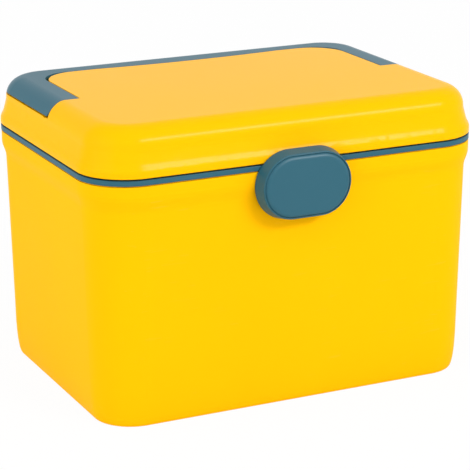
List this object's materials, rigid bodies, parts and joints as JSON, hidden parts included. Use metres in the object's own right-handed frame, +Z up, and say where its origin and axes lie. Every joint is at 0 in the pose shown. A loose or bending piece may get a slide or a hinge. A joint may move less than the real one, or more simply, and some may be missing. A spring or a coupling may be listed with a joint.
{
  "type": "medicine storage box",
  "caption": "Hinged medicine storage box with a flush carrying handle, a sprung front latch and a lift-out tray.",
  "frame": {"origin": "centre of the base, on the plane that the foot ring stands on", "axes": "+X to the right along the length, +Y to the hinged back, +Z up"},
  "size_m": [0.2704, 0.2141, 0.1907],
  "materials": {
    "yellow_shell": "satin moulded polypropylene, yellow",
    "blue_plastic": "satin moulded polypropylene, slate blue",
    "white_plastic": "moulded white plastic",
    "tray_plastic": "moulded pale grey plastic",
    "clear_plastic": "frosted plastic sheet",
    "gasket": "soft silicone",
    "steel": "drawn wire, bright"
  },
  "bodies": {
    "tub": {"body_shell": "yellow_shell", "rim_band": "blue_plastic", "hinge_pin_left": "steel", "hinge_pin_right": "steel", "lower_divider_left": "clear_plastic", "lower_divider_right": "clear_plastic"},
    "lid": {"lid_shell": "yellow_shell", "lid_liner": "white_plastic", "lid_gasket": "gasket", "liner_screws": "steel", "handle_pin_left": "steel", "handle_pin_right": "steel", "latch_pin": "steel"},
    "bail": {"handle": "blue_plastic"},
    "latch": {"latch_cover": "blue_plastic", "latch_lever": "blue_plastic", "latch_spring": "steel"},
    "insert": {"tray": "tray_plastic", "tray_divider_long": "tray_plastic", "tray_divider_rear": "tray_plastic", "tray_divider_front_left": "tray_plastic", "tray_divider_front_right": "tray_plastic"}
  },
  "joints": [
    {"name": "lid_hinge", "type": "hinge", "parent": "tub", "child": "lid", "pos_m": [0, 0.101, 0.1601], "axis": [-1, 0, 0], "range_deg": [0, 105]},
    {"name": "handle_pivot", "type": "hinge", "parent": "lid", "child": "bail", "pos_m": [0, -0.0002, 0.1862], "axis": [1, 0, 0], "range_deg": [0, 90]},
    {"name": "latch_pivot", "type": "hinge", "parent": "lid", "child": "latch", "pos_m": [0, -0.1026, 0.1626], "axis": [-1, 0, 0], "range_deg": [0, 18], "stiffness_Nm_per_rad": 0.05},
    {"name": "tray_lift", "type": "slide", "parent": "tub", "child": "insert", "axis": [0, 0, 1], "range_m": [0, 0.0478]}
  ],
  "couplings": [
    {"joint": "tray_lift", "follows": "lid_hinge", "m_per_rad": 0.026}
  ]
}
